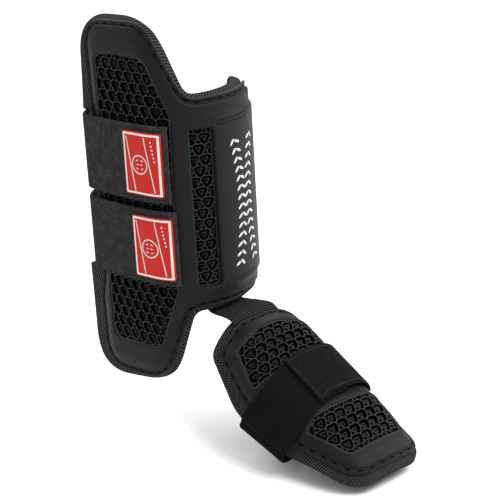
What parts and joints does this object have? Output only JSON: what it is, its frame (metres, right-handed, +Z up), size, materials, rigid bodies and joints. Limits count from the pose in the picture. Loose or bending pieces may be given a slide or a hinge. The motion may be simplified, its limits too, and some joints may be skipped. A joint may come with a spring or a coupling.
{
  "type": "batter's leg guard",
  "caption": "Moulded shin guard with a long side wing over a padded liner, calf straps, and a foot guard that hangs from it on elastic webbing and straps round the foot.",
  "frame": {"origin": "on the axis of the lower leg, level with the middle of the front panel", "axes": "+Z up the leg, -Y the way the shin faces, -X the side of the long wing"},
  "size_m": [0.1102, 0.2752, 0.3127],
  "materials": {
    "moulded_shell": "matte black moulded foam-backed plastic",
    "moulded_lattice": "satin black moulded lattice",
    "mesh_fabric": "black ribbed mesh over foam",
    "strap_fabric": "black brushed loop fabric",
    "elastic": "black ribbed elastic",
    "red_rubber": "soft red rubber with an off-white raised border"
  },
  "bodies": {
    "root": {"shin_liner": "mesh_fabric", "shin_shell": "moulded_shell", "wing_lattice": "moulded_lattice", "front_lattice": "moulded_lattice", "calf_strap_upper": "strap_fabric", "label_upper": "red_rubber", "calf_strap_lower": "strap_fabric", "label_lower": "red_rubber", "instep_webbing": "elastic", "foot_liner": "mesh_fabric", "foot_shell": "moulded_shell", "foot_lattice_upper": "moulded_lattice", "foot_lattice_lower": "moulded_lattice", "foot_strap": "elastic", "foot_strap_tab": "strap_fabric"}
  },
  "joints": []
}
